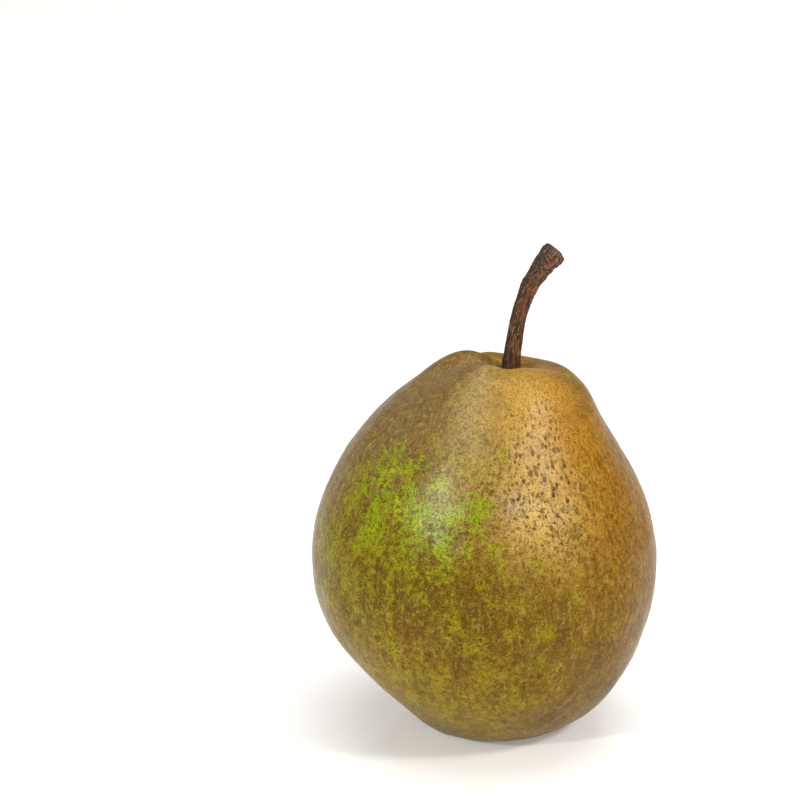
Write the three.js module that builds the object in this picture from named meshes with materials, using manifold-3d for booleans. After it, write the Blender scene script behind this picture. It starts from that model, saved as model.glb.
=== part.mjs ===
// A squat dessert pear, 84 mm across, that stands on its base.
// Millimetres, +X to the right of the face that is seen first, +Y away from it, +Z up.
// The origin is on the surface that the pear stands on, under the middle of its box.
import * as THREE from "three";
import { ParametricGeometry } from "three/addons/geometries/ParametricGeometry.js";
import { mergeVertices } from "three/addons/utils/BufferGeometryUtils.js";
import Module from "manifold-3d";

// The fruit's side, from the middle of the calyx basin, out over the foot and the belly, to the bottom of
// the stem's socket. Each row pulls on a smooth spline: [distance from the core, height, X of the core].
const BASIN_X = 3;
const STEM_X = 5.8;
const SOCKET_RADIUS = 2.6;
const FRUIT_SIDE = [
  // the calyx basin
  [0, 6.5, BASIN_X],
  [5.5, 6.2, BASIN_X],
  [8.5, 2.5, BASIN_X],
  // the foot, which is cut flat at height 0
  [12, -1.2, BASIN_X],
  [17.3, -0.8, 2.8],
  // the belly, widest at half the height
  [24.6, 4.7, 4.7],
  [33, 14, 4.8],
  [40.5, 27.1, 2.8],
  [42.7, 42.3, 0.8],
  [40.5, 56.2, 0],
  // the shoulders and the crest
  [34.2, 69.6, 0.5],
  [26.6, 80.3, 1.2],
  [20.4, 87.6, 4.1],
  [14.8, 91.6, 5.5],
  [9.6, 93, 5.5],
  // the stem cavity
  [6, 92.2, STEM_X],
  [3.8, 91.3, STEM_X],
  [2.7, 91, STEM_X],
  // the stem's socket
  [SOCKET_RADIUS, 89.5, STEM_X],
  [SOCKET_RADIUS, 85.5, STEM_X],
  [SOCKET_RADIUS, 83, STEM_X],
  [0, 82.5, STEM_X],
];

// Swellings and hollows of the skin: direction from the core in degrees (0 is +X, 90 is +Y), height, how far
// each spreads round and up, and how far it lifts the skin. A hollow has a negative lift.
const SWELLINGS = [
  { name: "waist on the right", at: 0, height: 72, round: 38, up: 8, lift: -0.9 },
  { name: "full left shoulder", at: 180, height: 72, round: 45, up: 12, lift: 0.4 },
  { name: "full left flank", at: 180, height: 30, round: 50, up: 14, lift: 2.1 },
  { name: "drawn-in right flank", at: 0, height: 24, round: 50, up: 12, lift: -1.9 },
  { name: "near left lobe of the crest", at: 228, height: 93, round: 22, up: 4, lift: 1.4 },
  { name: "fold between the left lobes", at: 190, height: 92.3, round: 14, up: 3, lift: -1.3 },
  { name: "far left lobe of the crest", at: 156, height: 93, round: 23, up: 4, lift: 1.55 },
  { name: "crease behind the stem", at: 131, height: 92.3, round: 8, up: 2.5, lift: -1.5 },
  { name: "low far side of the crest", at: 72, height: 92, round: 32, up: 5, lift: -1.6 },
  { name: "low right side of the crest", at: 0, height: 92, round: 40, up: 5, lift: -1 },
  { name: "near right lobe of the crest", at: 295, height: 92, round: 25, up: 4, lift: 1.4 },
];
const CORE_RADIUS = 5;
const FRUIT_TURNS = 72;
const STEPS_PER_ROW = 3;

// The stem's middle line from its root in the socket to its broken end: [x, y, z, radius].
const STEM_LINE = [
  [STEM_X, 0, 85.3, 2.25],
  [STEM_X, 0, 89.5, 2.25],
  [6.2, -0.2, 94.5, 2.1],
  [6.7, -0.5, 99.6, 1.9],
  [7.5, -0.9, 104.6, 1.86],
  [8.9, -1.4, 109.6, 1.9],
  [11, -1.8, 114.4, 2.1],
  [13.7, -2.3, 118.5, 2.6],
  [16, -2.5, 121.4, 3],
];
// Low lengthwise ridges that turn a little on the way up, as shares of the radius and in radians.
const STEM_RIDGES = 5;
const RIDGE_LIFT = 0.05;
const RIDGE_TWIST = 1.2;
// The knee where the stem bends: its direction in degrees, its share of the way up, its spreads and its lift.
const KNEE = { at: 180, along: 0.7, round: 30, spread: 0.035, lift: 0.18 };
const STEM_END_SHARPNESS = 14;
const STEM_TURNS = 20;
const STEM_STEPS = 44;

// The dried calyx in the basin: a cup that opens downwards, with sepals round it and stamens inside.
// The cup's wall: [distance from the calyx's middle, height].
const CUP_PROFILE = [
  [0, 5],
  [1.7, 5],
  [2.6, 4.1],
  [3.4, 4.3],
  [2.4, 5.7],
  [0, 5.8],
];
const CUP_TURNS = 20;
// A sepal and a stamen, each in the plane of its own direction:
// [distance out, height, half width, half thickness].
const SEPALS = 5;
const SEPAL_TURNED = 0.3;
const SEPAL_LINE = [
  [2.4, 5.3, 1.3, 0.36],
  [3.6, 4.6, 1.4, 0.36],
  [4.9, 3.8, 1.2, 0.36],
  [6.1, 2.7, 0.8, 0.34],
  [6.6, 1.7, 0.45, 0.32],
];
const SEPAL_END_SHARPNESS = 8;
const SEPAL_TURNS = 10;
const SEPAL_STEPS = 12;
const STAMENS = 9;
const STAMEN_LINE = [
  [1.5, 5.4, 0.32, 0.32],
  [1.8, 4.1, 0.32, 0.32],
  [2, 2.8, 0.36, 0.36],
];
const STAMEN_END_SHARPNESS = 6;
const STAMEN_TURNS = 6;
const STAMEN_STEPS = 5;

const skinMaterial = new THREE.MeshStandardMaterial({ color: 0x9a7a2c, roughness: 0.5, metalness: 0 });
const stemMaterial = new THREE.MeshStandardMaterial({ color: 0x4a2c1a, roughness: 0.75, metalness: 0 });
const calyxMaterial = new THREE.MeshStandardMaterial({ color: 0x2e2118, roughness: 0.9, metalness: 0 });

const MERGE_DISTANCE = 1e-4;
const SLOPE_STEP = 1e-4;

const wasm = await Module();
wasm.setup();

// A point of the uniform cubic B-spline that the rows pull on. The first and last row only steer its ends.
function splineAt(rows, share) {
  const spans = rows.length - 3;
  const span = Math.min(Math.floor(share * spans), spans - 1);
  const t = share * spans - span;
  const pulls = [
    (1 - t) ** 3 / 6,
    (3 * t ** 3 - 6 * t ** 2 + 4) / 6,
    (-3 * t ** 3 + 3 * t ** 2 + 3 * t + 1) / 6,
    t ** 3 / 6,
  ];
  return rows[0].map((_, column) => pulls.reduce((sum, pull, k) => sum + pull * rows[span + k][column], 0));
}

// Rows that start and end on the core: beyond each end the side comes back on the other side of the core.
function mirroredEnds(rows) {
  const across = ([radius, ...rest]) => [-radius, ...rest];
  return [across(rows[1]), ...rows, across(rows[rows.length - 2])];
}

// Rows whose spline starts at the first and ends at the last: beyond each end they go straight on.
function straightEnds(rows) {
  const beyond = (end, inner) => end.map((value, column) => 2 * value - inner[column]);
  return [beyond(rows[0], rows[1]), ...rows, beyond(rows[rows.length - 1], rows[rows.length - 2])];
}

// How fast the spline moves, by the difference between two points close to the one asked for.
function slopeAt(rows, share) {
  const before = splineAt(rows, Math.max(share - SLOPE_STEP, 0));
  const after = splineAt(rows, Math.min(share + SLOPE_STEP, 1));
  return after.map((value, column) => value - before[column]);
}

// A bell that is 1 at the middle and falls off over the spread.
function bell(distance, spread) {
  return Math.exp(-((distance / spread) ** 2) / 2);
}

// The angle between two directions in degrees, the short way round.
function angleBetween(first, second) {
  return ((first - second + 540) % 360) - 180;
}

// The skin: the side swept round the core, lifted along its own normal by every swelling, and cut flat
// at the foot.
const fruitRows = mirroredEnds(FRUIT_SIDE);
function fruitPoint(turn, share, target) {
  const [radius, height, coreX] = splineAt(fruitRows, share);
  const [outward, upward] = slopeAt(fruitRows, share);
  const length = Math.hypot(outward, upward) || 1;
  const direction = 360 * turn;
  const nearCore = 1 - Math.exp(-((radius / CORE_RADIUS) ** 2));
  const lift = SWELLINGS.reduce(
    (sum, s) => sum + s.lift * bell(angleBetween(direction, s.at), s.round) * bell(height - s.height, s.up),
    0,
  );
  const reach = radius + (upward / length) * lift * nearCore;
  const level = height - (outward / length) * lift * nearCore;
  const angle = THREE.MathUtils.degToRad(direction);
  target.set(coreX + reach * Math.cos(angle), reach * Math.sin(angle), Math.max(level, 0));
}

// A limb: an oval section swept along a line of rows [x, y, z, half width, half thickness], with both
// ends rounded.
function limbPoint(rows, sideways, endSharpness, liftAt) {
  const ends = straightEnds(rows);
  const centre = new THREE.Vector3();
  const tangent = new THREE.Vector3();
  const across = new THREE.Vector3();
  const outward = new THREE.Vector3();
  return (turn, share, target) => {
    const along = (1 - Math.cos(Math.PI * share)) / 2;
    const [x, y, z, halfWidth, halfThickness = halfWidth] = splineAt(ends, along);
    centre.set(x, y, z);
    tangent.fromArray(slopeAt(ends, along)).normalize();
    across.crossVectors(sideways, tangent).normalize();
    outward.crossVectors(tangent, across);
    const rounding = Math.max(1 - Math.abs(2 * along - 1) ** endSharpness, 0) ** (1 / endSharpness);
    const angle = 2 * Math.PI * turn;
    const swell = rounding * (1 + liftAt(360 * turn, along));
    target
      .copy(centre)
      .addScaledVector(across, halfWidth * swell * Math.cos(angle))
      .addScaledVector(outward, halfThickness * swell * Math.sin(angle));
  };
}

// The same geometry with the doubled points of its seam and poles merged, so that it is closed.
function withMergedPoints(geometry) {
  geometry.deleteAttribute("normal");
  geometry.deleteAttribute("uv");
  return mergeVertices(geometry, MERGE_DISTANCE);
}

function closedGeometry(pointAt, turns, steps) {
  return withMergedPoints(new ParametricGeometry(pointAt, turns, steps));
}

function solidOf(geometry) {
  const mesh = new wasm.Mesh({
    numProp: 3,
    vertProperties: geometry.attributes.position.array,
    triVerts: new Uint32Array(geometry.index.array),
  });
  return new wasm.Manifold(mesh);
}

function geometryOf(solid) {
  const mesh = solid.getMesh();
  const geometry = new THREE.BufferGeometry();
  geometry.setAttribute("position", new THREE.BufferAttribute(mesh.vertProperties, 3));
  geometry.setIndex(new THREE.BufferAttribute(mesh.triVerts, 1));
  geometry.computeVertexNormals();
  return geometry;
}

// The stem's ridges and its knee, as a share of its radius.
function stemLift(direction, along) {
  const angle = THREE.MathUtils.degToRad(direction);
  const ridges = RIDGE_LIFT * Math.cos(STEM_RIDGES * angle + RIDGE_TWIST * along);
  const knee = bell(angleBetween(direction, KNEE.at), KNEE.round) * bell(along - KNEE.along, KNEE.spread);
  return ridges + KNEE.lift * knee;
}

function stemGeometry() {
  const away = new THREE.Vector3(0, 1, 0);
  return closedGeometry(limbPoint(STEM_LINE, away, STEM_END_SHARPNESS, stemLift), STEM_TURNS, STEM_STEPS);
}

function cupGeometry() {
  const points = CUP_PROFILE.map(([distance, height]) => new THREE.Vector2(distance, height));
  const geometry = new THREE.LatheGeometry(points, CUP_TURNS);
  geometry.rotateX(Math.PI / 2);
  return withMergedPoints(geometry);
}

// A sepal or a stamen, from its line and its direction round the calyx in radians.
function calyxLimb(line, angle, endSharpness, turns, steps) {
  const rows = line.map(([distance, height, ...section]) => [
    distance * Math.cos(angle),
    distance * Math.sin(angle),
    height,
    ...section,
  ]);
  const outward = new THREE.Vector3(Math.cos(angle), Math.sin(angle), 0);
  return closedGeometry(limbPoint(rows, outward, endSharpness, () => 0), turns, steps);
}

function calyxGeometry() {
  let calyx = solidOf(cupGeometry());
  for (let i = 0; i < SEPALS; i += 1) {
    const angle = (2 * Math.PI * (i + SEPAL_TURNED)) / SEPALS;
    const sepal = calyxLimb(SEPAL_LINE, angle, SEPAL_END_SHARPNESS, SEPAL_TURNS, SEPAL_STEPS);
    calyx = calyx.add(solidOf(sepal));
  }
  for (let i = 0; i < STAMENS; i += 1) {
    const angle = (2 * Math.PI * i) / STAMENS;
    const stamen = calyxLimb(STAMEN_LINE, angle, STAMEN_END_SHARPNESS, STAMEN_TURNS, STAMEN_STEPS);
    calyx = calyx.add(solidOf(stamen));
  }
  return geometryOf(calyx);
}

function namedMesh(name, geometry, material) {
  const mesh = new THREE.Mesh(geometry, material);
  mesh.name = name;
  return mesh;
}

const pear = new THREE.Group();
const fruitSteps = STEPS_PER_ROW * (FRUIT_SIDE.length - 1);
const fruit = namedMesh("fruit", closedGeometry(fruitPoint, FRUIT_TURNS, fruitSteps), skinMaterial);
const stem = namedMesh("stem", stemGeometry(), stemMaterial);
const calyx = namedMesh("calyx", calyxGeometry(), calyxMaterial);
calyx.position.x = BASIN_X;
pear.add(fruit, stem, calyx);

export default pear;
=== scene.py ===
"""A squat russeted dessert pear, 84 mm across, that stands on its base with its bent stem up.

The fruit, the stem and the dried calyx are worked out as numpy surfaces in metres, in the part's own
frame: the origin is on the floor under the middle of the pear's box, +X to the right of the face that is
seen first, +Y away from it and +Z up. Sizes are written in millimetres, as the real thing is measured.
"""
import logging
import math
from collections.abc import Callable, Mapping, Sequence
from dataclasses import dataclass, field
from enum import Enum

import bpy
import numpy as np
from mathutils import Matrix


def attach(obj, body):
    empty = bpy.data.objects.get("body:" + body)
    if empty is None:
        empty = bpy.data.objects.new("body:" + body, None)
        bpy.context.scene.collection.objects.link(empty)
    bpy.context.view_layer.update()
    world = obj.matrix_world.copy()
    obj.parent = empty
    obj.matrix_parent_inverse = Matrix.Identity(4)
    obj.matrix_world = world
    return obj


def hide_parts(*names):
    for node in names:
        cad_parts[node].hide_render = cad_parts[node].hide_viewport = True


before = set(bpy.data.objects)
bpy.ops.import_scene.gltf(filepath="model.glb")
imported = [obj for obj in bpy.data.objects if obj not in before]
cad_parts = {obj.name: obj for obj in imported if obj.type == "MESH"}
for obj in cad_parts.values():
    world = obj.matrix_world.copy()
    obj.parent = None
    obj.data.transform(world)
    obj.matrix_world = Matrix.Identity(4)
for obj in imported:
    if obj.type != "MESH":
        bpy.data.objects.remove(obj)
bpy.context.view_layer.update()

MM = 0.001
BODY = "root"

# A length below which a vector counts as having no length.
TINY = 1e-12
# The name under which a limb's points carry their place on the straightened limb.
STRAIGHT = "straight"
# The average of Blender's noise.
NOISE_MEAN = 0.5
# The sockets of a Mix node that hold colours.
FIRST_COLOUR, SECOND_COLOUR, MIXED_COLOUR = 6, 7, 2

Colour = tuple[float, float, float]
log = logging.getLogger("pear")


# Curves and surfaces

def spline(rows: np.ndarray, share: np.ndarray) -> tuple[np.ndarray, np.ndarray]:
    """Work out the uniform cubic B-spline that the rows pull on, and how fast it moves.

    On each span, with t from 0 to 1, the point is the sum of four neighbouring rows weighted by
    (1-t)^3, 3t^3-6t^2+4, -3t^3+3t^2+3t+1 and t^3, all divided by 6.

    Args:
        rows: One row of numbers for each control point. The first and last only steer the ends.
        share: Where to read the curve, from 0 at its start to 1 at its end.

    Returns:
        The points and the slopes, each with the shape of share and one more axis for the columns.
    """
    spans = len(rows) - 3
    span = np.minimum((share * spans).astype(int), spans - 1)
    t = (share * spans - span)[..., None]
    pulls = ((1 - t) ** 3, 3 * t**3 - 6 * t**2 + 4, -3 * t**3 + 3 * t**2 + 3 * t + 1, t**3)
    pushes = (-3 * (1 - t) ** 2, 9 * t**2 - 12 * t, -9 * t**2 + 6 * t + 3, 3 * t**2)
    points = sum(pull * rows[span + k] for k, pull in enumerate(pulls)) / 6
    slopes = sum(push * rows[span + k] for k, push in enumerate(pushes)) / 6
    return points, slopes


def straight_ends(rows: np.ndarray) -> np.ndarray:
    """Add a row beyond each end, so that the spline starts at the first row and ends at the last."""
    return np.vstack([2 * rows[0] - rows[1], rows, 2 * rows[-1] - rows[-2]])


def mirrored_ends(rows: np.ndarray) -> np.ndarray:
    """Add a row beyond each end on the other side of the core, so that the spline crosses it level.

    Args:
        rows: Rows that start with the distance from the core.

    Returns:
        The rows with one more at each end.
    """
    other_side = np.ones(rows.shape[1])
    other_side[0] = -1
    return np.vstack([rows[1] * other_side, rows, rows[-2] * other_side])


def bell(distance: np.ndarray, spread: float) -> np.ndarray:
    """Return exp(-(distance/spread)^2 / 2), which is 1 at the middle and falls off over the spread."""
    return np.exp(-((distance / spread) ** 2) / 2)


def angle_between(first: np.ndarray, second: float) -> np.ndarray:
    """Return the angle from the second to the first direction in degrees, the short way round."""
    return (first - second + 180) % 360 - 180


@dataclass(frozen=True)
class Ripples:
    """A smooth random field: the sum of plane waves cos(k.p + phase) with seeded directions.

    Attributes:
        size: Usual distance between two crests in millimetres.
        lift: Its usual height.
        seed: Seed of the random draw.
        waves: How many waves are added up.
        lengths: Bounds of the waves' own lengths, as shares of the usual one.
    """

    size: float
    lift: float
    seed: int
    waves: int = 40
    lengths: tuple[float, float] = (0.7, 1.5)

    def at(self, points: np.ndarray) -> np.ndarray:
        """Work out the field, whose mean is 0.

        Args:
            points: Places in millimetres, with x, y and z on the last axis.

        Returns:
            The field at each place.
        """
        draw = np.random.default_rng(self.seed)
        heading = draw.normal(size=(3, self.waves))
        heading /= np.linalg.norm(heading, axis=0)
        wave_number = 2 * math.pi / (self.size * draw.uniform(*self.lengths, self.waves))
        phase = draw.uniform(0, 2 * math.pi, self.waves)
        total = np.cos(points @ (heading * wave_number) + phase).sum(axis=-1)
        return self.lift * math.sqrt(2 / self.waves) * total


def surface_normals(points: np.ndarray) -> np.ndarray:
    """Work out the outward normals of a closed sweep: the slope round it crossed with the slope along it.

    Args:
        points: Places with the steps along the sweep first, then the turns round it, then x, y and z.

    Returns:
        Unit vectors in the same layout.
    """
    around = np.roll(points, -1, axis=1) - np.roll(points, 1, axis=1)
    along = np.gradient(points, axis=0)
    normals = np.cross(around, along)
    return normals / np.maximum(np.linalg.norm(normals, axis=-1, keepdims=True), TINY)


@dataclass
class Shell:
    """A closed sweep: rings of points from one pole to the other, with any values that ride on them.

    Attributes:
        points: Places in millimetres, as steps x turns x 3. All points of the first and of the last
            ring are the same place, which becomes a pole.
        carried: Vectors carried by the points under a name, in the same layout.
    """

    points: np.ndarray
    carried: dict[str, np.ndarray] = field(default_factory=dict)

    @staticmethod
    def flattened(values: np.ndarray) -> np.ndarray:
        """List the values of the points once each: the first pole, the rings between and the last pole."""
        return np.vstack([values[0, :1], values[1:-1].reshape(-1, values.shape[-1]), values[-1, :1]])

    def faces(self) -> list[list[int]]:
        """List the faces: a fan round each pole and rows of four-sided faces between, all facing out.

        Returns:
            The numbers of each face's corners in the order that flattened gives them.
        """
        steps, turns = self.points.shape[:2]
        rings = 1 + np.arange((steps - 2) * turns).reshape(steps - 2, turns)
        beside = np.roll(rings, -1, axis=1)
        last_pole = rings[-1, -1] + 1
        quads = np.stack([rings[:-1], beside[:-1], beside[1:], rings[1:]], axis=-1).reshape(-1, 4)
        first_fan = np.stack([np.zeros_like(rings[0]), beside[0], rings[0]], axis=-1)
        last_fan = np.stack([rings[-1], beside[-1], np.full_like(rings[-1], last_pole)], axis=-1)
        return quads.tolist() + first_fan.tolist() + last_fan.tolist()


def piece_of(name: str, shells: Sequence[Shell]) -> bpy.types.Object:
    """Make one smooth object at the origin from closed shells.

    Args:
        name: Name of the piece.
        shells: The shells, which all carry the same named vectors.

    Returns:
        The object, linked to the scene.
    """
    places: list[np.ndarray] = []
    faces: list[list[int]] = []
    carried: dict[str, list[np.ndarray]] = {}
    start = 0
    for shell in shells:
        points = shell.flattened(shell.points)
        places.append(points)
        faces += [[start + corner for corner in face] for face in shell.faces()]
        start += len(points)
        for title, values in shell.carried.items():
            carried.setdefault(title, []).append(shell.flattened(values))
    mesh = bpy.data.meshes.new(name)
    mesh.from_pydata(np.vstack(places) * MM, [], faces)
    mesh.polygons.foreach_set("use_smooth", np.ones(len(mesh.polygons), dtype=bool))
    for title, parts in carried.items():
        attribute = mesh.attributes.new(title, "FLOAT_VECTOR", "POINT")
        attribute.data.foreach_set("vector", np.vstack(parts).astype(np.float32).ravel())
    mesh.update()
    piece = bpy.data.objects.new(name, mesh)
    bpy.context.scene.collection.objects.link(piece)
    return piece


# Shader maths

@dataclass(frozen=True)
class Mottle:
    """Fractal noise over a surface.

    Attributes:
        size: Size of its largest blots in millimetres.
        detail: How many finer octaves it has.
        roughness: How strong each finer octave is beside the one before.
    """

    size: float
    detail: float
    roughness: float = 0.5


@dataclass(frozen=True)
class Span:
    """The range of a value over which something comes in.

    Attributes:
        start: The value at which it begins.
        full: The value at which it is there in full, which may be the smaller of the two.
        share: How strong it then is.
    """

    start: float
    full: float
    share: float = 1.0


@dataclass(frozen=True)
class Rise:
    """A straight line over a value: its base at 0, and its gain for each 1 more."""

    base: float
    gain: float

    def at(self, value: "Value") -> "Value":
        """Return base + gain * value."""
        return self.base + self.gain * value


def _math(operation: str, reflected: bool = False) -> Callable[..., "Value"]:
    """Make an operator of Value.

    Args:
        operation: What its Math node does.
        reflected: Whether the other number comes before the socket's.

    Returns:
        The operator.
    """

    def operator(self: "Value", *others: "Value | float") -> "Value":
        """Return what the Math node makes of self and the others."""
        numbers = (*others, self) if reflected else (self, *others)
        return self.shader.maths(operation, *numbers)

    return operator


@dataclass(frozen=True)
class Value:
    """A socket that holds a number. Each operator on it adds a Math node.

    Attributes:
        shader: The material that the socket belongs to.
        socket: The output socket.
    """

    shader: "Shader"
    socket: bpy.types.NodeSocket

    __add__ = __radd__ = _math("ADD")
    __sub__, __rsub__ = _math("SUBTRACT"), _math("SUBTRACT", reflected=True)
    __mul__ = __rmul__ = _math("MULTIPLY")
    __truediv__, __rtruediv__ = _math("DIVIDE"), _math("DIVIDE", reflected=True)
    exp = _math("EXPONENT")
    at_most = _math("MINIMUM")

    def step(self, low: "Value | float", high: "Value | float") -> "Value":
        """Add a smooth step.

        Args:
            low: The value at which it is 0.
            high: The value at which it is 1, which may be the smaller of the two.

        Returns:
            The step.
        """
        node = self.shader.node(
            "ShaderNodeMapRange",
            {"interpolation_type": "SMOOTHSTEP"},
            {"Value": self, "From Min": low, "From Max": high},
        )
        return Value(self.shader, node.outputs[0])

    def over(self, span: Span) -> "Value":
        """Return how much of something has come in over a span of self."""
        step = self.step(span.start, span.full)
        return step if span.share == 1 else step * span.share


# What an input socket may hold.
Content = Value | bpy.types.NodeSocket | float | Sequence[float]


class Shader:
    """One material and the methods that add its nodes."""

    def __init__(self, name: str) -> None:
        """Start an empty material.

        Args:
            name: Name of the material.
        """
        self.material = bpy.data.materials.new(name)
        self.material.use_nodes = True
        self.tree = self.material.node_tree
        self.tree.nodes.clear()

    def node(
        self,
        kind: str,
        settings: Mapping[str, object] | None = None,
        inputs: Mapping[int | str, Content] | None = None,
    ) -> bpy.types.Node:
        """Add a node.

        Args:
            kind: Blender's name for the node's type.
            settings: The node's own properties, which are set first.
            inputs: What each input socket holds: a number, a colour, a vector or a link.

        Returns:
            The new node.
        """
        node = self.tree.nodes.new(kind)
        for title, setting in (settings or {}).items():
            setattr(node, title, setting)
        for key, content in (inputs or {}).items():
            socket = node.inputs[key]
            if isinstance(content, Value):
                content = content.socket
            if isinstance(content, bpy.types.NodeSocket):
                self.tree.links.new(content, socket)
            elif socket.type == "RGBA":
                socket.default_value = (*content, 1.0)
            else:
                socket.default_value = content
        return node

    def maths(self, operation: str, *numbers: Value | float) -> Value:
        """Add a Math node on one or two numbers and return its number."""
        node = self.node("ShaderNodeMath", {"operation": operation}, dict(enumerate(numbers)))
        return Value(self, node.outputs[0])

    def vector(self, operation: str, *vectors: Content) -> bpy.types.NodeSocket:
        """Add a Vector Math node on one or two vectors and return its vector."""
        node = self.node("ShaderNodeVectorMath", {"operation": operation}, dict(enumerate(vectors)))
        return node.outputs["Vector"]

    def dot(self, first: Content, second: Content) -> Value:
        """Return the dot product of two vectors."""
        node = self.node("ShaderNodeVectorMath", {"operation": "DOT_PRODUCT"}, {0: first, 1: second})
        return Value(self, node.outputs["Value"])

    def mixed(self, share: Value | float, first: Content, second: Content) -> bpy.types.NodeSocket:
        """Mix two colours, each a triple or a link, and return the mixed colour."""
        inputs = {0: share, FIRST_COLOUR: first, SECOND_COLOUR: second}
        return self.node("ShaderNodeMix", {"data_type": "RGBA"}, inputs).outputs[MIXED_COLOUR]

    def noise(self, place: Content, mottle: Mottle) -> Value:
        """Add fractal noise.

        Args:
            place: Coordinates in millimetres.
            mottle: What the noise is like.

        Returns:
            The noise, NOISE_MEAN on average.
        """
        inputs = {
            "Vector": place,
            "Scale": 1 / mottle.size,
            "Detail": mottle.detail,
            "Roughness": mottle.roughness,
        }
        return Value(self, self.node("ShaderNodeTexNoise", {}, inputs).outputs[0])

    def cells(self, place: Content, size: float) -> tuple[Value, Value, Value]:
        """Scatter points on a plane, one to a cell.

        Args:
            place: Coordinates in millimetres, of which the first two are read.
            size: Usual distance between neighbouring points in millimetres.

        Returns:
            The distance to the nearest point in millimetres and two random numbers that belong to it.
        """
        inputs = {"Vector": place, "Scale": 1 / size}
        node = self.node("ShaderNodeTexVoronoi", {"voronoi_dimensions": "2D"}, inputs)
        draw = self.node("ShaderNodeSeparateColor", {}, {0: node.outputs["Color"]})
        return Value(self, node.outputs[0]) * size, Value(self, draw.outputs[0]), Value(self, draw.outputs[1])

    def millimetres(self) -> bpy.types.NodeSocket:
        """Return the object's own coordinates in millimetres."""
        place = self.node("ShaderNodeTexCoord").outputs["Object"]
        return self.vector("MULTIPLY", place, (1 / MM,) * 3)

    def pressed(self, place: Content, press: float) -> bpy.types.NodeSocket:
        """Press heights together by a factor below 1, which draws a pattern out upwards."""
        return self.vector("MULTIPLY", place, (1.0, 1.0, press))

    def relief(self, height: Value) -> bpy.types.NodeSocket:
        """Turn a height in millimetres into a bumped normal."""
        return self.node("ShaderNodeBump", {}, {"Strength": 1.0, "Distance": MM, "Height": height}).outputs[0]

    def finished(self, inputs: Mapping[int | str, Content]) -> bpy.types.Material:
        """Close the material with a Principled shader.

        Args:
            inputs: What each of its input sockets holds.

        Returns:
            The material.
        """
        shader = self.node("ShaderNodeBsdfPrincipled", {}, inputs)
        self.node("ShaderNodeOutputMaterial", {}, {"Surface": shader.outputs[0]})
        return self.material


# Finishes

@dataclass(frozen=True)
class Patch:
    """A place on the skin with soft edges.

    Attributes:
        at: Direction of its middle from the core in degrees, 0 at +X and 90 at +Y.
        height: Height of its middle in millimetres.
        round: How far it spreads round the fruit, in degrees.
        up: How far it spreads up and down in millimetres.
        amount: How strong it is at its middle.
    """

    at: float
    height: float
    round: float
    up: float
    amount: float


@dataclass(frozen=True)
class Tint:
    """A colour of the skin and the patches where it shows."""

    colour: Colour
    patches: tuple[Patch, ...]


@dataclass(frozen=True)
class Speckle:
    """How a noise speckles the skin.

    Attributes:
        dark: Where in the noise, and how strongly, the skin goes dark.
        light: The same for where it goes pale.
        calmed: How much weaker the dark is on the calm shoulder.
    """

    dark: Span
    light: Span
    calmed: float = 0.0


@dataclass(frozen=True)
class SkinPoint:
    """What the skin's patterns read at a point of it.

    Attributes:
        shader: The skin's material.
        place: The point in millimetres.
        around: Level unit vector from the core to the point.
        height: Its height in millimetres.
        blots: The broad noise.
        flecks: The middling noise.
        grain: The fine noise.
        ragged: The noise that frays the edges of spots, about 0 on average.
    """

    shader: Shader
    place: bpy.types.NodeSocket
    around: bpy.types.NodeSocket
    height: Value
    blots: Value
    flecks: Value
    grain: Value
    ragged: Value

    def strength(self, patches: Sequence[Patch]) -> Value:
        """Add up exp((cos(turn) - 1) / round^2 - ((height - middle) / up)^2 / 2) times each amount.

        Args:
            patches: The patches.

        Returns:
            How strong they are together at the point.
        """
        strengths: list[Value] = []
        for patch in patches:
            at = math.radians(patch.at)
            turned = self.shader.dot(self.around, (math.cos(at), math.sin(at), 0.0)) - 1
            raised = (self.height - patch.height) / patch.up
            shown = (turned / math.radians(patch.round) ** 2 - raised * raised / 2).exp()
            strengths.append(shown * patch.amount)
        return sum(strengths[1:], strengths[0])

    def unrolled(self, belly: float) -> bpy.types.NodeSocket:
        """Unroll the skin, with the seam on the far side.

        Args:
            belly: Usual distance of the skin from the core in millimetres.

        Returns:
            The arc from the near side and the height, in millimetres.
        """
        sideways = self.shader.dot(self.around, (1.0, 0.0, 0.0))
        nearer = self.shader.dot(self.around, (0.0, -1.0, 0.0))
        arc = self.shader.maths("ARCTAN2", sideways, nearer) * belly
        return self.shader.node("ShaderNodeCombineXYZ", {}, {"X": arc, "Y": self.height}).outputs[0]


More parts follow.
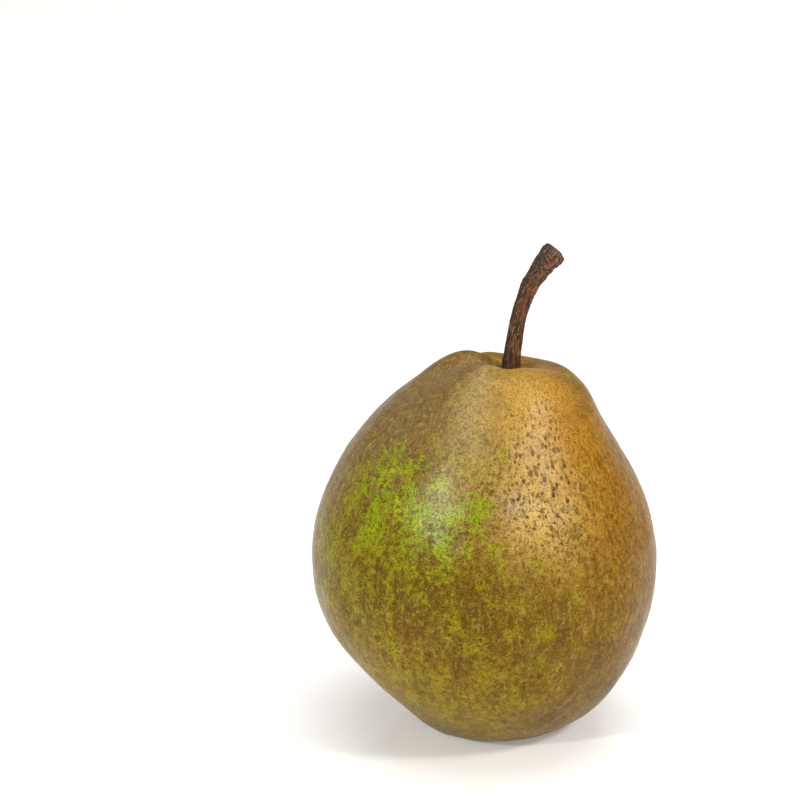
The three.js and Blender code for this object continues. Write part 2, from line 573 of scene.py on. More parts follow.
@dataclass(frozen=True)
class RussetSkin:
    """Satin pear skin: speckled russet over a green ground that breaks through it in ragged islands.

    Lengths are in millimetres. Each Mottle is a noise, each Span says where in a noise or a height
    something comes in, and each Rise how much of it there is over another value.

    Attributes:
        core_x: X of the core that directions are taken from.
        belly: Usual distance of the skin from the core.
        fraying: What frays the edges of spots and pores.
        blot_press, streak_press: How far heights are pressed together for the blots and the streaks.
        tints_and_painted_light: Colours that tell the sides of the fruit apart; among them are painted shade
            low on the front and a painted highlight, with a pale peach tan, on the right.
        calm_heights: Where the skin grows calmer, up to the shoulder.
        green_patches: Where the green breaks through; the amount is added to the islands' noise.
        broad_share: The broad noise's share of the islands.
        spot_size: Usual distance between the round russet spots in the fresh green. Their rim and heart
            are their outer and inner radius by a random number.
        lenticel: The colour of the breathing pores, which are large in its patches.
        pore_size: Usual distance between the pores. Their growth is what a random number adds to their
            smallest radius, and their heart is their inner radius as a share.
        gloss: Specular level.
    """

    core_x: float = 2.0
    belly: float = 36.0
    blots: Mottle = Mottle(9.0, 5, 0.65)
    flecks: Mottle = Mottle(1.1, 4, 0.7)
    grain: Mottle = Mottle(0.42, 2, 0.6)
    streaks: Mottle = Mottle(1.5, 4, 0.65)
    fraying: Mottle = Mottle(0.8, 3)
    broad_islands: Mottle = Mottle(5.0, 3)
    fine_islands: Mottle = Mottle(1.5, 5, 0.78)
    waves: Mottle = Mottle(4.0, 2)
    blot_press: float = 0.6
    streak_press: float = 0.4
    ground: Colour = (0.195, 0.098, 0.001)
    dark_ground: Colour = (0.080, 0.038, 0.002)
    light_ground: Colour = (0.46, 0.31, 0.065)
    ground_blots: Span = Span(0.40, 0.58)
    tints_and_painted_light: tuple[Tint, ...] = (
        Tint((0.155, 0.098, 0.048), (Patch(203, 82, 32, 13, 0.95), Patch(183, 66, 18, 17, 0.8))),
        Tint((0.31, 0.25, 0.115), (Patch(254, 86, 12, 8, 0.8),)),
        Tint((0.52, 0.305, 0.060), (Patch(298, 87, 24, 9, 0.95),)),
        Tint((0.45, 0.185, 0.004), (Patch(320, 72, 15, 12, 0.85),)),
        # Partly painted highlight: a pale peach tan where the key light's highlight falls on the right, over
        # a tan russet.
        Tint((0.66, 0.44, 0.13), (Patch(288, 66, 15, 9, 0.95),)),
        # Painted highlight: a small pale silvery spot inside the key light's highlight.
        Tint((0.40, 0.32, 0.25), (Patch(276.5, 69, 4.0, 1.7, 0.5),)),
        Tint((0.26, 0.105, 0.002), (Patch(340, 58, 30, 20, 0.85),)),
        Tint((0.205, 0.145, 0.020), (Patch(196, 42, 18, 20, 0.9),)),
        # Painted shade: darker brown low on the left front, where less light falls.
        Tint((0.112, 0.064, 0.002), (Patch(241, 49, 27, 9, 0.9),)),
        # Painted shade: darker brown low on the right front, where less light falls.
        Tint((0.160, 0.082, 0.002), (Patch(300, 24, 40, 14, 0.7),)),
        Tint((0.28, 0.190, 0.006), (Patch(238, 13, 28, 9, 0.85),)),
        Tint((0.29, 0.175, 0.008), (Patch(85, 62, 45, 26, 0.7),)),
    )
    tint_blots: Rise = Rise(0.55, 0.9)
    calm_heights: Span = Span(70.0, 88.0)
    fleck_specks: Speckle = Speckle(Span(0.52, 0.34, 0.8), Span(0.54, 0.72, 0.45), 0.55)
    streak_specks: Speckle = Speckle(Span(0.50, 0.34, 0.6), Span(0.52, 0.68, 0.3), 0.3)
    grain_specks: Speckle = Speckle(Span(0.52, 0.34, 0.6), Span(0.54, 0.72, 0.3))
    fresh_green: Colour = (0.205, 0.305, 0.003)
    olive_green: Colour = (0.29, 0.262, 0.003)
    deep_green: Colour = (0.12, 0.125, 0.002)
    lime: Colour = (0.42, 0.43, 0.02)
    fresh_patches: tuple[Patch, ...] = (Patch(229, 68, 19, 9, 1.0), Patch(257, 64, 12, 8, 0.7))
    fresh_flecks: Rise = Rise(0.4, 1.2)
    lime_blots: Span = Span(0.50, 0.62)
    lime_flecks: Span = Span(0.44, 0.6, 0.5)
    deep_grain: Span = Span(0.50, 0.40, 0.8)
    green_patches: tuple[Patch, ...] = (
        Patch(285, 39.5, 3, 1.6, 0.07),
        Patch(298, 53.8, 2.5, 1.2, 0.11),
        Patch(273, 79.3, 3, 1.4, 0.09),
        Patch(229, 68, 19, 10, 0.098),
        Patch(258, 66, 11, 7, 0.085),
        Patch(230, 57, 32, 12, 0.044),
        Patch(205, 38, 24, 24, 0.060),
        Patch(255, 26, 28, 18, 0.070),
        Patch(286, 36, 16, 14, 0.042),
        Patch(90, 40, 60, 22, 0.06),
    )
    broad_share: float = 0.36
    green_level: Span = Span(0.565, 0.695)
    green_fresh: Rise = Rise(0.68, 0.32)
    spot_size: float = 2.4
    spot_fraying: float = 1.3
    spot_rim: Rise = Rise(0.40, 0.5)
    spot_heart: Rise = Rise(0.10, 0.3)
    spot_share: float = 0.9
    lenticel: Colour = (0.060, 0.024, 0.007)
    lenticel_patches: tuple[Patch, ...] = (Patch(291, 69, 15, 11, 1.0), Patch(300, 83, 26, 9, 0.55))
    pore_size: float = 1.9
    pore_radius: float = 0.13
    pore_growth: Rise = Rise(0.12, 0.68)
    pore_fraying: float = 0.9
    pore_heart: float = 0.45
    pore_depth: Rise = Rise(0.12, 0.88)
    pore_dark: Rise = Rise(0.5, 0.5)
    fleck_relief: float = 0.07
    grain_relief: float = 0.07
    pore_relief: float = 0.06
    wave_relief: float = 0.10
    roughness: float = 0.30
    fleck_roughness: float = 0.3
    pore_roughness: float = 0.1
    green_smoothness: float = 0.08
    gloss: float = 0.07

    def point(self) -> SkinPoint:
        """Start the material and work out what its patterns read.

        Returns:
            The point, with the noises that several patterns share.
        """
        shader = Shader("russet_skin")
        place = shader.millimetres()
        outward = shader.vector("SUBTRACT", place, (self.core_x, 0.0, 0.0))
        return SkinPoint(
            shader=shader,
            place=place,
            around=shader.vector("NORMALIZE", shader.pressed(outward, 0.0)),
            height=shader.dot(place, (0.0, 0.0, 1.0)),
            blots=shader.noise(shader.pressed(place, self.blot_press), self.blots),
            flecks=shader.noise(place, self.flecks),
            grain=shader.noise(place, self.grain),
            ragged=shader.noise(place, self.fraying) - NOISE_MEAN,
        )

    def speckled(
        self, shader: Shader, colour: Content, noise: Value, specks: Speckle, calm: Value | float = 0.0
    ) -> bpy.types.NodeSocket:
        """Darken a colour where a noise is low and make it pale where the noise is high.

        Args:
            shader: The material.
            colour: The colour.
            noise: The noise.
            specks: How it speckles.
            calm: How calm the skin is, from 0 to 1.

        Returns:
            The speckled colour.
        """
        dark = noise.step(specks.dark.start, specks.dark.full) * (specks.dark.share - specks.calmed * calm)
        colour = shader.mixed(dark, colour, self.dark_ground)
        return shader.mixed(noise.over(specks.light), colour, self.light_ground)

    def russet(self, point: SkinPoint) -> bpy.types.NodeSocket:
        """Paint the russet: its ground, its tints, its flecks and its upright streaks.

        Args:
            point: What the patterns read.

        Returns:
            The colour.
        """
        shader = point.shader
        colour = shader.mixed(point.blots.over(self.ground_blots), self.dark_ground, self.ground)
        # Some of these tints are painted light: shade low on the front and a highlight on the right.
        for tint in self.tints_and_painted_light:
            share = point.strength(tint.patches) * self.tint_blots.at(point.blots)
            colour = shader.mixed(share.at_most(1.0), colour, tint.colour)
        calm = point.height.over(self.calm_heights)
        streaks = shader.noise(shader.pressed(point.place, self.streak_press), self.streaks)
        colour = self.speckled(shader, colour, point.flecks, self.fleck_specks, calm)
        return self.speckled(shader, colour, streaks, self.streak_specks, calm)

    def green(self, point: SkinPoint, fresh: Value) -> bpy.types.NodeSocket:
        """Paint the green: olive to fresh, with pale and deep specks.

        Args:
            point: What the patterns read.
            fresh: How fresh the green is.

        Returns:
            The colour.
        """
        shader = point.shader
        share = fresh * self.fresh_flecks.at(point.flecks)
        colour = shader.mixed(share, self.olive_green, self.fresh_green)
        pale = point.blots.over(self.lime_blots) * point.flecks.over(self.lime_flecks)
        colour = shader.mixed(pale, colour, self.lime)
        dark = ((point.grain + point.flecks) / 2).over(self.deep_grain)
        return shader.mixed(dark, colour, self.deep_green)

    def islands(self, point: SkinPoint, skin: Content, fresh: Value) -> Value:
        """Work out where the green breaks through, less the round russet spots in the fresh green.

        Args:
            point: What the patterns read.
            skin: The unrolled skin in millimetres.
            fresh: How fresh the green is.

        Returns:
            The green's share, from 0 to 1.
        """
        shader = point.shader
        broad = shader.noise(shader.pressed(point.place, self.blot_press), self.broad_islands)
        fine = shader.noise(point.place, self.fine_islands)
        noise = self.broad_share * broad + (1 - self.broad_share) * fine
        share = (noise + point.strength(self.green_patches)).over(self.green_level)
        distance, draw, _ = shader.cells(skin, self.spot_size)
        frayed = distance + point.ragged * self.spot_fraying
        spot = frayed.step(self.spot_rim.at(draw), self.spot_heart.at(draw))
        return share * (1 - self.spot_share * spot * fresh)

    def pores(self, point: SkinPoint, skin: Content) -> tuple[Value, Value]:
        """Scatter the breathing pores.

        Args:
            point: What the patterns read.
            skin: The unrolled skin in millimetres.

        Returns:
            How deep in a pore the point is, and how much of the pore's colour it shows.
        """
        large = point.strength(self.lenticel_patches).at_most(1.0)
        distance, draw, second_draw = point.shader.cells(skin, self.pore_size)
        radius = self.pore_radius + self.pore_growth.at(large) * draw
        frayed = distance + point.ragged * self.pore_fraying
        pore = frayed.step(radius, radius * self.pore_heart) * self.pore_depth.at(large)
        return pore, pore * self.pore_dark.at(second_draw)

    def material(self) -> bpy.types.Material:
        """Build the skin's material.

        Returns:
            The material.
        """
        point = self.point()
        shader = point.shader
        skin = point.unrolled(self.belly)
        fresh = point.strength(self.fresh_patches).at_most(1.0)
        islands = self.islands(point, skin, fresh)
        pore, pore_colour = self.pores(point, skin)
        colour = self.russet(point)
        colour = shader.mixed(islands * self.green_fresh.at(fresh), colour, self.green(point, fresh))
        colour = shader.mixed(pore_colour, colour, self.lenticel)
        colour = self.speckled(shader, colour, point.grain, self.grain_specks)
        relief = self.fleck_relief * point.flecks + self.grain_relief * point.grain
        relief = relief - self.pore_relief * pore + self.wave_relief * shader.noise(point.place, self.waves)
        roughness = self.roughness + self.fleck_roughness * (point.flecks - NOISE_MEAN)
        roughness = roughness + self.pore_roughness * pore - self.green_smoothness * islands
        inputs = {"Base Color": colour, "Roughness": roughness, "Specular IOR Level": self.gloss}
        return shader.finished(inputs | {"Normal": shader.relief(relief)})


@dataclass(frozen=True)
class StemBark:
    """Dry stem bark: dark ridged wood with pale lengthwise specks, grainy and greyer at its tip.

    Attributes:
        press: How far the stem's length is pressed together for the fibres and the flakes.
        tip_heights: Where along the stem, in millimetres, the tip's look comes in.
        painted_shade: How far from the middle, on the left in millimetres, the bark is darkened by painted
            shade.
        speck_tip: How strong the specks are, by how near the tip is.
        gloss: Specular level.
    """

    furrow: Colour = (0.014, 0.006, 0.003)
    ridge: Colour = (0.142, 0.047, 0.009)
    worn: Colour = (0.38, 0.150, 0.027)
    speck: Colour = (0.60, 0.38, 0.20)
    tip: Colour = (0.24, 0.14, 0.095)
    fibre: Mottle = Mottle(0.7, 4, 0.65)
    flake: Mottle = Mottle(0.30, 3, 0.6)
    grain: Mottle = Mottle(0.5, 3, 0.7)
    press: float = 0.22
    tip_heights: Span = Span(27.0, 38.0)
    ridge_fibres: Span = Span(0.38, 0.6)
    worn_fibres: Span = Span(0.55, 0.75, 0.8)
    tip_grain: Span = Span(0.50, 0.58, 0.75)
    tip_furrows: Span = Span(0.50, 0.42, 0.8)
    # Painted shade: the stem's left side, away from the key light, goes dark.
    painted_shade: Span = Span(0.2, 2.0, 0.7)
    speck_flakes: Span = Span(0.58, 0.68)
    speck_tip: Rise = Rise(0.6, -0.3)
    fibre_relief: float = 0.25
    grain_relief: float = 0.20
    flake_relief: float = 0.08
    fibre_roughness: Rise = Rise(0.55, 0.3)
    gloss: float = 0.2

    def material(self) -> bpy.types.Material:
        """Build the stem's material, which reads the straightened stem's coordinates.

        Returns:
            The material.
        """
        shader = Shader("stem_bark")
        straight = shader.node("ShaderNodeAttribute", {"attribute_name": STRAIGHT}).outputs["Vector"]
        long = shader.pressed(straight, self.press)
        fibre = shader.noise(long, self.fibre)
        flake = shader.noise(long, self.flake)
        grain = shader.noise(straight, self.grain)
        near_tip = shader.dot(straight, (0.0, 0.0, 1.0)).over(self.tip_heights)
        # Painted shade: the left side of the bark is mixed towards the furrow colour.
        painted_shade_share = shader.dot(straight, (-1.0, 0.0, 0.0)).over(self.painted_shade)
        colour = shader.mixed(fibre.over(self.ridge_fibres), self.furrow, self.ridge)
        colour = shader.mixed(fibre.over(self.worn_fibres), colour, self.worn)
        colour = shader.mixed(near_tip * grain.over(self.tip_grain), colour, self.tip)
        colour = shader.mixed(near_tip * grain.over(self.tip_furrows), colour, self.furrow)
        colour = shader.mixed(painted_shade_share, colour, self.furrow)
        specks = flake.over(self.speck_flakes) * self.speck_tip.at(near_tip)
        colour = shader.mixed(specks, colour, self.speck)
        relief = self.fibre_relief * fibre + self.grain_relief * grain + self.flake_relief * flake
        roughness = self.fibre_roughness.at(fibre)
        inputs = {"Base Color": colour, "Roughness": roughness, "Specular IOR Level": self.gloss}
        return shader.finished(inputs | {"Normal": shader.relief(relief)})


@dataclass(frozen=True)
class DriedCalyx:
    """Dried blossom remains: brittle, nearly black leaf tissue with greyer edges, crumpled by a noise."""

    deep: Colour = (0.018, 0.011, 0.007)
    dusty: Colour = (0.11, 0.08, 0.055)
    crumple: Mottle = Mottle(1.3, 4, 0.6)
    dusty_crumple: Span = Span(0.4, 0.68)
    roughness: Rise = Rise(0.88, -0.2)
    relief: float = 0.3

    def material(self) -> bpy.types.Material:
        """Build the calyx's material.

        Returns:
            The material.
        """
        shader = Shader("dried_calyx")
        crumple = shader.noise(shader.millimetres(), self.crumple)
        colour = shader.mixed(crumple.over(self.dusty_crumple), self.deep, self.dusty)
        inputs = {"Base Color": colour, "Roughness": self.roughness.at(crumple)}
        return shader.finished(inputs | {"Normal": shader.relief(self.relief * crumple)})


@dataclass(frozen=True)
class StudioFloor:
    """Plain white floor with a faint gloss, which glows a little so that shadows stay light."""

    white: Colour = (0.86, 0.86, 0.86)
    glow: float = 0.27
    roughness: float = 0.10
    gloss: float = 1.0

    def material(self) -> bpy.types.Material:
        """Build the floor's material.

        Returns:
            The material.
        """
        inputs = {"Base Color": self.white, "Roughness": self.roughness, "Specular IOR Level": self.gloss}
        glow = {"Emission Color": self.white, "Emission Strength": self.glow}
        return Shader("studio_floor").finished(inputs | glow)


# The pieces of the pear

class Slot(Enum):
    """The part's material slots."""

    SKIN = "skin"
    STEM_WOOD = "stem_wood"
    DRIED_CALYX = "dried_calyx"


def dressed(piece: bpy.types.Object, node: str, material: bpy.types.Material) -> bpy.types.Object:
    """Give a piece its material, hang it on the body and hide the imported node that it stands for.

    Args:
        piece: The piece.
        node: The node that it replaces.
        material: Its material.

    Returns:
        The same piece.
    """
    piece.data.materials.append(material)
    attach(piece, BODY)
    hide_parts(node)
    return piece


@dataclass(frozen=True)
class Swelling:
    """A swelling of the skin, or a hollow where the lift is negative, in degrees and millimetres."""

    at: float
    height: float
    round: float
    up: float
    lift: float


@dataclass
class Fruit:
    """The flesh with its skin: a side swept round a bent core, with swellings, lobes and a flat foot.

    Attributes:
        basin_x: X of the middle of the calyx basin.
        stem_x: X of the stem's socket.
        socket_radius: Radius of the socket.
        core_radius: Distance from the core within which the swellings fade out.
        swellings: What lifts the skin along its normal.
        unevenness: The low ripples on the skin, with lifts in millimetres.
        turns: Points round the fruit.
        steps: Points along the side.
        fine_steps: Points that the length of the side is measured with.
    """

    basin_x: float = 3.0
    stem_x: float = 5.8
    socket_radius: float = 2.6
    core_radius: float = 5.0
    swellings: tuple[Swelling, ...] = (
        Swelling(at=0, height=72, round=38, up=8, lift=-0.9),
        Swelling(at=180, height=72, round=45, up=12, lift=0.4),
        Swelling(at=180, height=30, round=50, up=14, lift=2.1),
        Swelling(at=0, height=24, round=50, up=12, lift=-1.9),
        Swelling(at=228, height=93, round=22, up=4, lift=1.4),
        Swelling(at=190, height=92.3, round=14, up=3, lift=-1.3),
        Swelling(at=156, height=93, round=23, up=4, lift=1.55),
        Swelling(at=131, height=92.3, round=8, up=2.5, lift=-1.5),
        Swelling(at=72, height=92, round=32, up=5, lift=-1.6),
        Swelling(at=0, height=92, round=40, up=5, lift=-1.0),
        Swelling(at=295, height=92, round=25, up=4, lift=1.4),
    )
    unevenness: tuple[Ripples, ...] = (Ripples(16.0, 0.10, 3), Ripples(7.0, 0.035, 4), Ripples(3.5, 0.012, 5))
    turns: int = 440
    steps: int = 210
    fine_steps: int = 4000
    finish: RussetSkin = RussetSkin()

    def side(self) -> np.ndarray:
        """List what pulls on the side: distance from the core, height, and X of the core.

        Returns:
            The rows from the middle of the basin to the bottom of the socket, with those that mirror
            the ends.
        """
        basin, stem, socket = self.basin_x, self.stem_x, self.socket_radius
        rows = [
            (0, 6.5, basin), (5.5, 6.2, basin), (8.5, 2.5, basin), (12, -1.2, basin), (17.3, -0.8, 2.8),
            (24.6, 4.7, 4.7), (33, 14, 4.8), (40.5, 27.1, 2.8), (42.7, 42.3, 0.8), (40.5, 56.2, 0),
            (34.2, 69.6, 0.5), (26.6, 80.3, 1.2), (20.4, 87.6, 4.1), (14.8, 91.6, 5.5), (9.6, 93, 5.5),
            (6, 92.2, stem), (3.8, 91.3, stem), (2.7, 91, stem),
            (socket, 89.5, stem), (socket, 85.5, stem), (socket, 83, stem), (0, 82.5, stem),
        ]
        return mirrored_ends(np.array(rows, dtype=float))

    def even_shares(self, rows: np.ndarray) -> np.ndarray:
        """Choose the places on the side that lie the same distance apart.

        Args:
            rows: What pulls on the side.

        Returns:
            Their shares of the way along it.
        """
        fine = np.linspace(0, 1, self.fine_steps)
        points, _ = spline(rows, fine)
        length = np.concatenate([[0], np.cumsum(np.hypot(*np.diff(points[:, :2], axis=0).T))])
        return np.interp(np.linspace(0, length[-1], self.steps), length, fine)

    def skin(self) -> np.ndarray:
        """Work out the skin in millimetres.

        A point of the side is the distance r from the core at the height h. Each swelling lifts it along
        the side's normal by lift * bell(direction) * bell(height), which fades out near the core by
        1 - exp(-(r / core radius)^2). The reach r is turned round the core, whose X goes with the side.
        Low ripples follow the skin's own normal, and the foot is cut flat at height 0.

        Returns:
            Points as steps x turns x 3.
        """
        rows = self.side()
        share = self.even_shares(rows)
        points, slopes = spline(rows, share)
        radius, height, core_x = (points[:, column, None] for column in range(3))
        outward, upward = (slopes[:, column, None] for column in range(2))
        length = np.maximum(np.hypot(outward, upward), TINY)
        direction = np.linspace(0, 360, self.turns, endpoint=False)[None, :]
        near_core = 1 - np.exp(-((radius / self.core_radius) ** 2))
        lift = sum(
            s.lift * bell(angle_between(direction, s.at), s.round) * bell(height - s.height, s.up)
            for s in self.swellings
        )
        reach = radius + upward / length * lift * near_core
        level = height - outward / length * lift * near_core
        angle = np.radians(direction)
        skin = np.stack([core_x + reach * np.cos(angle), reach * np.sin(angle), level], axis=-1)
        uneven = sum(ripples.at(skin) for ripples in self.unevenness)
        skin = skin + surface_normals(skin) * (uneven * near_core)[..., None]
        skin[..., 2] = np.maximum(skin[..., 2], 0)
        skin[0], skin[-1] = skin[0].mean(axis=0), skin[-1].mean(axis=0)
        return skin

    def build(self) -> bpy.types.Object:
        """Build and dress the fruit."""
        piece = piece_of("pear_flesh", [Shell(self.skin())])
        return dressed(piece, "fruit", self.finish.material())


@dataclass
class Limb:
    """An oval section swept along a line, with both ends rounded.

    Attributes:
        rows: Points that pull on the middle line, with the half width and half thickness there.
        sideways: The vector that the section's width is square to.
        end_sharpness: How late the ends round off.
        turns: Points round the section.
        steps: Points along the line.
        lift: Works out how far the surface stands out, as a share of its radius, from the direction in
            radians, the share of the way along and the place on the straightened limb.
    """

    rows: np.ndarray
    sideways: np.ndarray
    end_sharpness: float
    turns: int
    steps: int
    lift: Callable[[np.ndarray, np.ndarray, np.ndarray], np.ndarray]

    def shell(self) -> Shell:
        """Work out the limb's surface in millimetres.

        The steps crowd at the ends by along = (1 - cos(pi * share)) / 2. The section is
        centre + across * half width * cos(a) + outward * half thickness * sin(a), with both halves
        scaled by the rounding (1 - |2 along - 1|^k)^(1/k) and by 1 + lift.

        Returns:
            The shell, which carries its points' places on the straightened limb.
        """
        share = np.linspace(0, 1, self.steps)
        along = (1 - np.cos(math.pi * share)) / 2
        points, slopes = spline(straight_ends(self.rows), along)
        centre = points[:, None, :3]
        half_width, half_thickness = points[:, 3, None], points[:, 4, None]
        tangent = slopes[:, :3] / np.linalg.norm(slopes[:, :3], axis=1, keepdims=True)
        across = np.cross(self.sideways, tangent)
        across /= np.linalg.norm(across, axis=1, keepdims=True)
        outward = np.cross(tangent, across)
        rounding = np.maximum(1 - np.abs(2 * along - 1) ** self.end_sharpness, 0) ** (1 / self.end_sharpness)
        angle = np.linspace(0, 2 * math.pi, self.turns, endpoint=False)[None, :]
        length = np.concatenate([[0], np.cumsum(np.linalg.norm(np.diff(points[:, :3], axis=0), axis=1))])
        climb = np.broadcast_to(length[:, None], (self.steps, self.turns))
        across_part, outward_part = half_width * np.cos(angle), half_thickness * np.sin(angle)
        straight = np.stack([across_part, outward_part, climb], axis=-1)
        swell = (rounding[:, None] * (1 + self.lift(angle, along[:, None], straight)))[..., None]
        surface = (
            centre
            + across[:, None] * across_part[..., None] * swell
            + outward[:, None] * outward_part[..., None] * swell
        )
        return Shell(surface, {STRAIGHT: straight})


@dataclass
class Stem:
    """The woody stem: ridged, kneed where it bends, and swollen at its broken end.

    Attributes:
        line: The middle line from its root in the socket to its end: x, y, z and radius.
        sideways: The vector that the section's width is square to.
        ridges: How many main ridges it has, which turn by their twist, in radians, on the way up.
        knee_at: Direction in degrees of the bump at the bend.
        knee_along: Share of the way up at which it is.
        knee_round: Its spread round the stem in degrees, beside its spread along it as a share.
        end_sharpness: How late the ends round off.
        fibre: The ripples of the long fibres, whose coordinates are multiplied by their stretch.
        grain: The ripples of the grain, which grow with a power of the way up.
        turns: Points round the stem.
        steps: Points along it.
    """

    line: tuple[tuple[float, float, float, float], ...] = (
        (5.8, 0, 85.3, 2.25), (5.8, 0, 89.5, 2.25), (6.2, -0.2, 94.5, 2.1), (6.7, -0.5, 99.6, 1.9),
        (7.5, -0.9, 104.6, 1.86), (8.9, -1.4, 109.6, 1.9), (11, -1.8, 114.4, 2.1), (13.7, -2.3, 118.5, 2.6),
        (16, -2.5, 121.4, 3),
    )
    sideways: tuple[float, float, float] = (0.0, 1.0, 0.0)
    ridges: int = 5
    ridge_lift: float = 0.05
    ridge_twist: float = 1.2
    knee_at: float = 180.0
    knee_along: float = 0.7
    knee_round: float = 30.0
    knee_spread: float = 0.035
    knee_lift: float = 0.18
    end_sharpness: float = 14.0
    fibre: Ripples = Ripples(1.1, 0.03, 11)
    fibre_stretch: tuple[float, float, float] = (1.0, 1.0, 0.2)
    grain: Ripples = Ripples(1.3, 0.02, 12)
    grain_at_foot: float = 0.4
    grain_growth: int = 3
    turns: int = 120
    steps: int = 300
    finish: StemBark = StemBark()

    def lift(self, angle: np.ndarray, along: np.ndarray, straight: np.ndarray) -> np.ndarray:
        """Work out how far the bark stands out: main ridges, the knee, long fibres and a fine grain.

        Args:
            angle: Direction round the stem in radians.
            along: Share of the way up.
            straight: The straightened stem's coordinates in millimetres.

        Returns:
            The lift as a share of the radius.
        """
        main = self.ridge_lift * np.cos(self.ridges * angle + self.ridge_twist * along)
        knee = bell(angle_between(np.degrees(angle), self.knee_at), self.knee_round)
        knee = self.knee_lift * knee * bell(along - self.knee_along, self.knee_spread)
        fibre = self.fibre.at(straight * np.array(self.fibre_stretch))
        grain = self.grain.at(straight) * (self.grain_at_foot + along**self.grain_growth)
        return main + knee + fibre + grain

    def build(self) -> bpy.types.Object:
        """Build and dress the stem.

        Returns:
            Its piece.
        """
        line = np.array(self.line, dtype=float)
        rows = np.hstack([line, line[:, 3:]])
        sideways = np.array(self.sideways)
        limb = Limb(rows, sideways, self.end_sharpness, self.turns, self.steps, self.lift)
        piece = piece_of("pear_stem", [limb.shell()])
        return dressed(piece, "stem", self.finish.material())


@dataclass
class Calyx:
    """The dried calyx in the basin: a cup that opens downwards, with sepals round it and stamens inside.

    Attributes:
        x: X of its middle, which is the middle of the basin.
        cup: The wall of the cup, from its middle inside to its middle outside: distance out and height.
        cup_turns, cup_steps: Points round the cup and along its wall.
        sepals, sepal_turned: How many sepals it has, and how far the first is turned, as a share of the
            way to the next.
        sepal_line, stamen_line: Distance out, height, half width and half thickness along each.
        sepal_sharpness, stamen_sharpness: How late their ends round off.
        sepal_grid, stamen_grid: Points round each and along it.
        stamens: How many stamens it has.
        crumple: The ripples of the dried tissue.
    """

    x: float = 3.0
    cup: tuple[tuple[float, float], ...] = ((0, 5), (1.7, 5), (2.6, 4.1), (3.4, 4.3), (2.4, 5.7), (0, 5.8))
    cup_turns: int = 64
    cup_steps: int = 40
    sepals: int = 5
    sepal_turned: float = 0.3
    sepal_line: tuple[tuple[float, float, float, float], ...] = (
        (2.4, 5.3, 1.3, 0.36), (3.6, 4.6, 1.4, 0.36), (4.9, 3.8, 1.2, 0.36), (6.1, 2.7, 0.8, 0.34),
        (6.6, 1.7, 0.45, 0.32),
    )
    sepal_sharpness: float = 8.0
    sepal_grid: tuple[int, int] = (32, 48)
    stamens: int = 9
    stamen_line: tuple[tuple[float, float, float, float], ...] = (
        (1.5, 5.4, 0.32, 0.32), (1.8, 4.1, 0.32, 0.32), (2, 2.8, 0.36, 0.36),
    )
    stamen_sharpness: float = 6.0
    stamen_grid: tuple[int, int] = (12, 20)
    crumple: Ripples = Ripples(1.6, 0.16, 21)
    finish: DriedCalyx = DriedCalyx()

    def crumpled(self, angle: np.ndarray, along: np.ndarray, straight: np.ndarray) -> np.ndarray:
        """Return the crumple of dried tissue, a share of its radius that its own places alone tell."""
        return self.crumple.at(straight)

    def limb(
        self, line: Sequence[Sequence[float]], angle: float, sharpness: float, grid: tuple[int, int]
    ) -> Shell:
        """Build a sepal or a stamen in the plane of its own direction.

        Args:
            line: Distance out, height, half width and half thickness along it.
            angle: Its direction round the calyx in radians.
            sharpness: How late its ends round off.
            grid: Points round its section and along it.

        Returns:
            The shell.
        """
        distance, height, width, thickness = np.array(line, dtype=float).T
        outward = np.array([math.cos(angle), math.sin(angle), 0.0])
        x, y = self.x + distance * outward[0], distance * outward[1]
        rows = np.column_stack([x, y, height, width, thickness])
        return Limb(rows, outward, sharpness, *grid, self.crumpled).shell()

    def cup_shell(self) -> Shell:
        """Turn the cup's wall round the calyx's middle.

        A point of the wall is the distance out and the height, and goes to
        (x + distance * cos(a), distance * sin(a), height). The cup has nothing to straighten, so it
        carries its own points in place of those that the sepals carry.

        Returns:
            The shell.
        """
        share = np.linspace(0, 1, self.cup_steps)
        wall, _ = spline(mirrored_ends(np.array(self.cup, dtype=float)), share)
        angle = np.linspace(0, 2 * math.pi, self.cup_turns, endpoint=False)[None, :]
        distance = wall[:, 0, None]
        height = np.broadcast_to(wall[:, 1, None], (self.cup_steps, self.cup_turns))
        points = np.stack([self.x + distance * np.cos(angle), distance * np.sin(angle), height], axis=-1)
        points[0], points[-1] = points[0].mean(axis=0), points[-1].mean(axis=0)
        return Shell(points, {STRAIGHT: points})

    def build(self) -> bpy.types.Object:
        """Build and dress the calyx.

        Returns:
            Its piece.
        """
        shells = [self.cup_shell()]
        for i in range(self.sepals):
            angle = 2 * math.pi * (i + self.sepal_turned) / self.sepals
            shells.append(self.limb(self.sepal_line, angle, self.sepal_sharpness, self.sepal_grid))
        for i in range(self.stamens):
            angle = 2 * math.pi * i / self.stamens
            shells.append(self.limb(self.stamen_line, angle, self.stamen_sharpness, self.stamen_grid))
        piece = piece_of("pear_calyx", shells)
        return dressed(piece, "calyx", self.finish.material())


# The studio

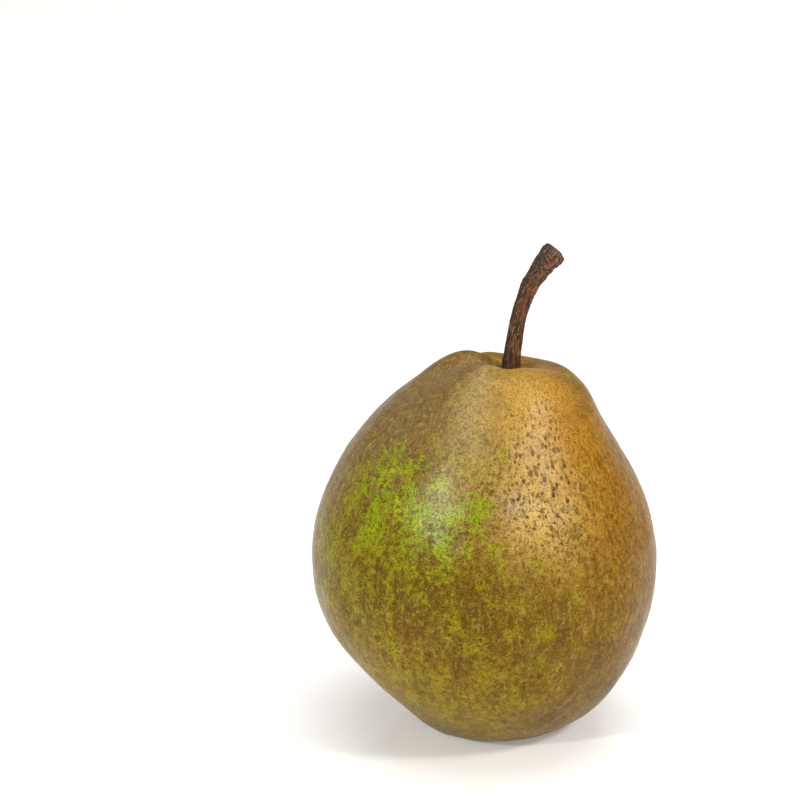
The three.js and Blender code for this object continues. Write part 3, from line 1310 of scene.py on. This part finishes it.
@dataclass(frozen=True)
class Softbox:
    """A square soft light that looks at the middle of the pear.

    Attributes:
        name: Its name.
        at: Direction of the light in degrees, 0 at +X and 90 at +Y.
        rise: Its angle above the floor in degrees.
        distance: Its distance in metres.
        size: Width of its face in metres.
        power: Its power in watts.
        colour: Its colour, a warm white.
        glint: Whether it only shines in glossy surfaces and lights nothing else.
    """

    name: str
    at: float
    rise: float
    distance: float
    size: float
    power: float
    colour: Colour = (1.0, 0.98, 0.93)
    glint: bool = False

    def build(self, target: np.ndarray) -> None:
        """Hang the light so that it looks at a place.

        Args:
            target: The place in metres.
        """
        at, rise = math.radians(self.at), math.radians(self.rise)
        heading = np.array([math.cos(rise) * math.cos(at), math.cos(rise) * math.sin(at), math.sin(rise)])
        light = bpy.data.lights.new(self.name, "AREA")
        light.shape = "SQUARE"
        light.size = self.size
        light.energy = self.power
        light.color = self.colour
        lamp = bpy.data.objects.new(self.name, light)
        lamp.location = target + heading * self.distance
        lamp.rotation_euler = (math.pi / 2 - rise, 0.0, at + math.pi / 2)
        lamp.visible_diffuse = not self.glint
        bpy.context.scene.collection.objects.link(lamp)


@dataclass
class Studio:
    """A white floor, a white sky, soft lights and the camera.

    Attributes:
        floor_size: Width of the floor in metres.
        sky: Strength of the white sky.
        target: Where the lights look, in metres.
        camera_place: Where the camera is, in metres.
        camera_pitch: How far it looks down, in degrees.
        lens, sensor: The camera's focal length and the width of its sensor in millimetres.
    """

    floor_size: float = 6.0
    sky: float = 0.38
    target: tuple[float, float, float] = (0.0, 0.0, 0.05)
    camera_place: tuple[float, float, float] = (-0.02069, -0.63601, 0.31200)
    camera_pitch: float = 19.80
    lens: float = 126.0
    sensor: float = 36.0
    lights: tuple[Softbox, ...] = (
        Softbox("key", at=-32, rise=41, distance=0.9, size=0.13, power=4.2),
        Softbox("fill", at=-131, rise=31, distance=0.9, size=0.05, power=3.2),
        Softbox("overhead", at=74, rise=80, distance=2.5, size=2.4, power=60),
        Softbox("key glint", at=-32, rise=43, distance=0.9, size=0.25, power=9.0, glint=True),
        Softbox("fill glint", at=-129, rise=36, distance=0.9, size=0.08, power=11.0, glint=True),
    )
    finish: StudioFloor = StudioFloor()

    def floor(self) -> None:
        """Lay the floor, a level square round the origin."""
        half = self.floor_size / 2
        mesh = bpy.data.meshes.new("floor")
        corners = [(-half, -half, 0), (half, -half, 0), (half, half, 0), (-half, half, 0)]
        mesh.from_pydata(corners, [], [(0, 1, 2, 3)])
        mesh.materials.append(self.finish.material())
        floor = bpy.data.objects.new("floor", mesh)
        bpy.context.scene.collection.objects.link(floor)

    def world(self) -> None:
        """Light the scene evenly with a white sky."""
        world = bpy.data.worlds.new("white_sky")
        world.use_nodes = True
        background = world.node_tree.nodes["Background"]
        background.inputs["Color"].default_value = (1.0, 1.0, 1.0, 1.0)
        background.inputs["Strength"].default_value = self.sky
        bpy.context.scene.world = world

    def camera(self) -> None:
        """Place the camera, which looks straight down until it is turned, and make it the scene's."""
        camera = bpy.data.cameras.new("camera")
        camera.lens = self.lens
        camera.sensor_width = self.sensor
        holder = bpy.data.objects.new("camera", camera)
        holder.location = self.camera_place
        holder.rotation_euler = (math.radians(90 - self.camera_pitch), 0.0, 0.0)
        bpy.context.scene.collection.objects.link(holder)
        bpy.context.scene.camera = holder

    def build(self) -> None:
        """Set up the studio, with colours shown as they are worked out."""
        self.floor()
        self.world()
        self.camera()
        for light in self.lights:
            light.build(np.array(self.target))
        bpy.context.scene.view_settings.view_transform = "Standard"


def main() -> None:
    """Build the studio and the pear, and report each piece."""
    logging.basicConfig(level=logging.INFO, format="%(message)s")
    Studio().build()
    for sub_assembly in (Fruit(), Stem(), Calyx()):
        piece = sub_assembly.build()
        piece.data.calc_loop_triangles()
        log.info("%s: %d triangles", piece.name, len(piece.data.loop_triangles))


if __name__ == "__main__":
    main()
